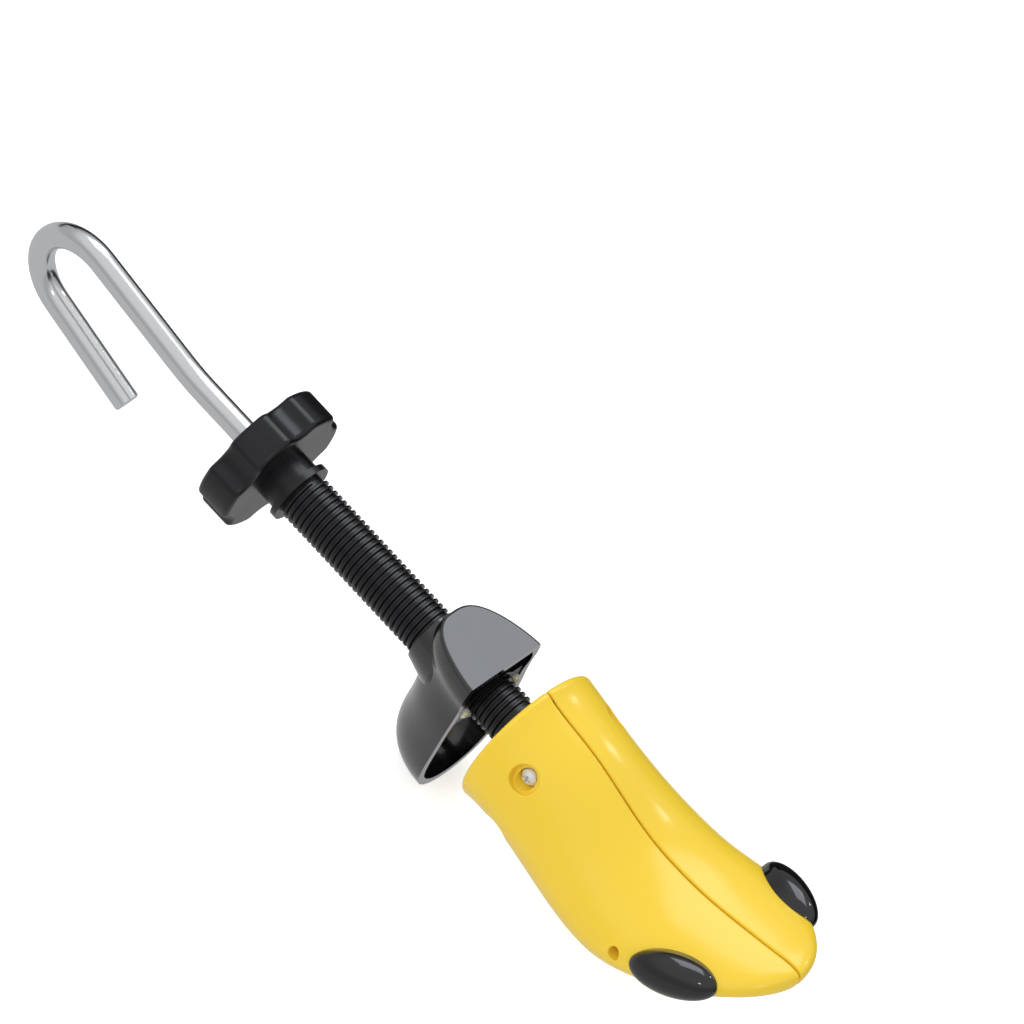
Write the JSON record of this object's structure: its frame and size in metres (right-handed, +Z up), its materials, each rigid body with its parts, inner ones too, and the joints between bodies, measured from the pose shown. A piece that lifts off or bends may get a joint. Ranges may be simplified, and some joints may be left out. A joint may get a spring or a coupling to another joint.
{
  "type": "shoe stretcher",
  "caption": "Two-way shoe stretcher: split toe form, heel cup on a threaded tube with a hand wheel, and a hook rod that spreads the toe.",
  "frame": {"origin": "middle of the bounding box at the height of the heel cup's lowest point", "axes": "+X along the screw axis from the hook to the toe tip, +Y to the left half, +Z up from sole to instep"},
  "size_m": [0.4037, 0.0796, 0.0855],
  "materials": {
    "yellow_plastic": "moulded gloss",
    "black_plastic": "moulded gloss",
    "grey_plastic": "moulded matt",
    "chrome_steel": "bright plated",
    "zinc_steel": "bright zinc",
    "spring_steel": "drawn wire"
  },
  "bodies": {
    "core": {"core_block": "grey_plastic", "guide_screws": "zinc_steel", "return_springs_right": "spring_steel", "return_springs_left": "spring_steel", "tube_thrust_washer": "zinc_steel"},
    "screw_tube": {"threaded_tube": "black_plastic", "hand_wheel": "black_plastic", "wheel_retaining_ring": "spring_steel", "tube_retaining_ring": "spring_steel"},
    "hook": {"hook_rod": "chrome_steel", "rod_collar": "zinc_steel", "rod_collar_pin": "zinc_steel", "rod_thrust_washer": "zinc_steel", "rod_end_nut": "zinc_steel"},
    "wedge": {"spreader_wedge": "grey_plastic", "wedge_nut": "zinc_steel"},
    "toe_right": {"toe_half_right": "yellow_plastic"},
    "toe_left": {"toe_half_left": "yellow_plastic"},
    "plug_right": {"bunion_plug_right": "black_plastic"},
    "plug_left": {"bunion_plug_left": "black_plastic"},
    "heel": {"heel_cup": "black_plastic", "heel_nut": "black_plastic", "heel_nut_screws": "zinc_steel"}
  },
  "joints": [
    {"name": "wheel_turn", "type": "hinge", "parent": "core", "child": "screw_tube", "pos_m": [0, 0, 0.056], "axis": [1, 0, 0], "range_deg": [-1728, 9360]},
    {"name": "heel_slide", "type": "slide", "parent": "core", "child": "heel", "axis": [-1, 0, 0], "range_m": [-0.012, 0.065]},
    {"name": "hook_turn", "type": "hinge", "parent": "core", "child": "hook", "pos_m": [0, 0, 0.056], "axis": [1, 0, 0], "range_deg": [0, 4320]},
    {"name": "wedge_slide", "type": "slide", "parent": "core", "child": "wedge", "axis": [1, 0, 0], "range_m": [0, 0.024]},
    {"name": "toe_right_slide", "type": "slide", "parent": "core", "child": "toe_right", "axis": [0, -1, 0], "range_m": [0, 0.007], "deforming": ["return_springs_right"]},
    {"name": "toe_left_slide", "type": "slide", "parent": "core", "child": "toe_left", "axis": [0, 1, 0], "range_m": [0, 0.007], "deforming": ["return_springs_left"]},
    {"name": "plug_right_pull", "type": "slide", "parent": "toe_right", "child": "plug_right", "axis": [0.1028, -0.8371, 0.5373], "range_m": [0, 0.008]},
    {"name": "plug_left_pull", "type": "slide", "parent": "toe_left", "child": "plug_left", "axis": [0.1028, 0.8371, 0.5373], "range_m": [0, 0.008]}
  ],
  "couplings": [
    {"joint": "heel_slide", "follows": "wheel_turn", "m_per_rad": 0.00039788},
    {"joint": "wedge_slide", "follows": "hook_turn", "m_per_rad": 0.0003183},
    {"joint": "toe_right_slide", "follows": "hook_turn", "m_per_rad": 0.00009284},
    {"joint": "toe_left_slide", "follows": "hook_turn", "m_per_rad": 0.00009284}
  ]
}
